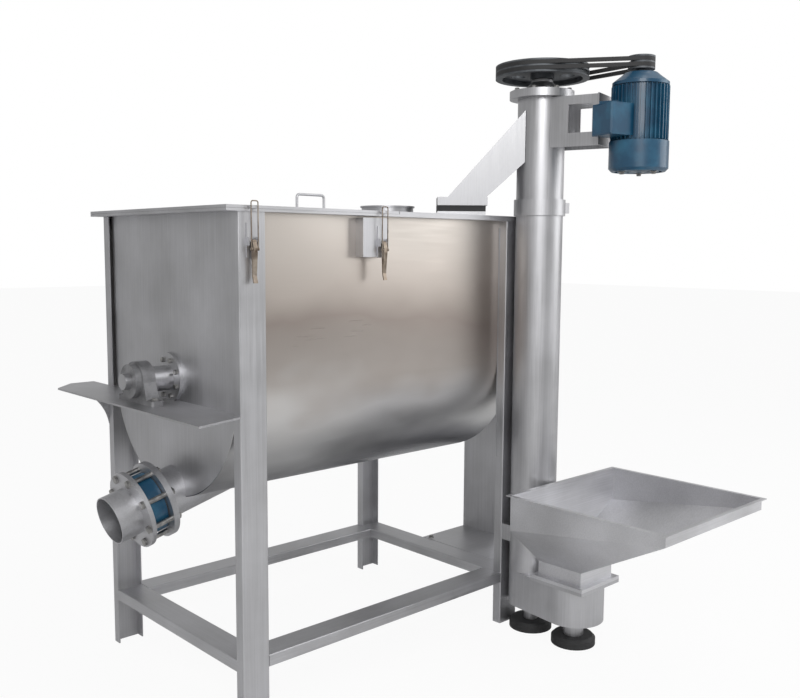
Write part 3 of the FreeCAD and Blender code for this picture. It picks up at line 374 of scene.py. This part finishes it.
def addBolts():
    spec = fixings
    pattern = modelBolt()
    tubeX, tubeY = spec["tube"]
    turn = math.radians(spec["beltTurn"])
    motorX = tubeX + spec["belt"] * math.cos(turn)
    motorY = tubeY + spec["belt"] * math.sin(turn)
    flange = circle(tubeX, tubeY, spec["tubeTop"], spec["tubeCircle"], 8, 22.5)
    cover = circle(motorX, motorY, spec["fanBottom"], spec["fanCircle"], 3, 30)
    platform = [spot(x, y, spec["platformTop"]) for x in spec["platformX"]
                for y in spec["platformY"]]
    boltsAt("tubeFlangeBolts", pattern, flange, (0, 0, 1))
    boltsAt("fanCoverScrews", pattern, cover, (0, 0, -1))
    boltsAt("platformBolts", pattern, platform, (0, 0, 1))
    bpy.data.objects.remove(pattern, do_unlink=True)


beadMake = {
    "rings": 46,
    "radius": 0.0032,
    "uneven": 0.22,
    "between": 0.6,  # share of the unevenness that every drop has
    "wander": 2.3,
    "runs": [((93, 35, 640), (93, 35, 1490)), ((1147, 35, 640), (1147, 35, 1490))],
}


def weldBead(start, end):
    # a run of weld drops: a bar cut into short lengths, every other ring drawn in; bisect
    # leaves only the ring that it made selected
    spec = beadMake
    span = end - start
    bpy.ops.object.select_all(action="DESELECT")
    bpy.ops.mesh.primitive_cylinder_add(vertices=8, radius=spec["radius"], depth=span.length)
    bead = bpy.context.object
    bpy.ops.object.mode_set(mode="EDIT")
    for k in range(1, spec["rings"]):
        cut = span.length * (k / spec["rings"] - 0.5)
        bpy.ops.mesh.select_all(action="SELECT")
        bpy.ops.mesh.bisect(plane_co=(0, 0, cut), plane_no=(0, 0, 1))
        if k % 2:
            share = spec["between"] + (1 - spec["between"]) * math.sin(k * spec["wander"])
            swell = 1 - spec["uneven"] * share
            bpy.ops.transform.resize(value=(swell, swell, 1))
    bpy.ops.object.mode_set(mode="OBJECT")
    bead.matrix_world = Matrix.Translation((start + end) / 2) @ turnedTo(span)
    return bead


addBolts()
beads = [weldBead(spot(*start), spot(*end)) for start, end in beadMake["runs"]]
gather(beads, "frameWelds", steelShadedCopy, "mixer")
print("bolts and welds made")

# camera, floor and light
cameraPlace = {
    "at": (-2.17876, -2.27775, 1.413),
    "turn": 43.04,
    "down": 6.18,
    "roll": 0.35,
    "lens": 41.58,
    "sensor": 36,
    "reach": 100,
}


def addCamera():
    spec = cameraPlace
    turn, down, roll = (math.radians(spec[key]) for key in ("turn", "down", "roll"))
    level = Vector((math.sin(turn), math.cos(turn), 0))
    side = Vector((math.cos(turn), -math.sin(turn), 0))
    up = Vector((0, 0, 1))
    forward = level * math.cos(down) - up * math.sin(down)
    above = level * math.sin(down) + up * math.cos(down)
    right = side * math.cos(roll) + above * math.sin(roll)
    top = above * math.cos(roll) - side * math.sin(roll)
    data = bpy.data.cameras.new("camera")
    data.lens = spec["lens"]
    data.sensor_width = spec["sensor"]
    data.clip_end = spec["reach"]
    camera = bpy.data.objects.new("camera", data)
    bpy.context.collection.objects.link(camera)
    turnMatrix = Matrix((right, top, -forward)).transposed().to_4x4()
    camera.matrix_world = Matrix.Translation(spec["at"]) @ turnMatrix
    bpy.context.scene.camera = camera


floorMake = {"size": 60, "colour": (0.8, 0.8, 0.8), "rough": 0.8, "glow": 0.93}


def addFloor():
    # mostly a plain glow to the camera, and the rest takes the shadow
    spec = floorMake
    bpy.ops.object.select_all(action="DESELECT")
    bpy.ops.mesh.primitive_plane_add(size=spec["size"], location=(0, 0, 0))
    floor = bpy.context.object
    floor.name = "floor"
    finish = Finish("floorFinish", spec["colour"], 0.0, spec["rough"])
    glow = finish.put("ShaderNodeEmission", Strength=1.0)
    seen = finish.put("ShaderNodeLightPath", out=0)
    shaded = Wire(finish, finish.shader.outputs[0])
    shown = finish.put("ShaderNodeMixShader", i0=seen * spec["glow"], i1=shaded, i2=glow)
    finish.tree.links.new(shown.socket, finish.tree.nodes["Material Output"].inputs[0])
    floor.data.materials.append(finish.material)


worldMake = {"lighting": 0.5, "seen": 1.0}
lampMake = {
    # place, size and power
    "key": ((-3.4, -3.8, 3.6), 2.6, 130),
    "fill": ((3.6, -3.0, 2.6), 3.0, 60),
    "top": ((1.4, -1.6, 4.6), 3.0, 35),
}
lampAim = (0, 0, 0.9)


def addWorld():
    # plain white where it is seen, and a soft level where it only gives light
    world = bpy.data.worlds.new("studio")
    bpy.context.scene.world = world
    world.use_nodes = True
    tree = world.node_tree
    back = tree.nodes["Background"]
    back.inputs["Color"].default_value = (1, 1, 1, 1)
    path = tree.nodes.new("ShaderNodeLightPath")
    seen = tree.nodes.new("ShaderNodeMath")
    seen.operation = "MAXIMUM"
    tree.links.new(path.outputs["Is Camera Ray"], seen.inputs[0])
    tree.links.new(path.outputs["Is Transmission Ray"], seen.inputs[1])
    level = tree.nodes.new("ShaderNodeMapRange")
    tree.links.new(seen.outputs[0], level.inputs[0])
    level.inputs[3].default_value = worldMake["lighting"]
    level.inputs[4].default_value = worldMake["seen"]
    tree.links.new(level.outputs[0], back.inputs["Strength"])


def addLamps():
    for name, (at, size, power) in lampMake.items():
        data = bpy.data.lights.new(name, "AREA")
        data.size = size
        data.energy = power
        lamp = bpy.data.objects.new(name, data)
        bpy.context.collection.objects.link(lamp)
        lamp.location = at
        aim = Vector(lampAim) - Vector(at)
        lamp.rotation_euler = aim.to_track_quat("-Z", "Y").to_euler()


addCamera()
addFloor()
addWorld()
addLamps()
bpy.context.scene.view_settings.view_transform = "Standard"
print("camera, floor and light set")
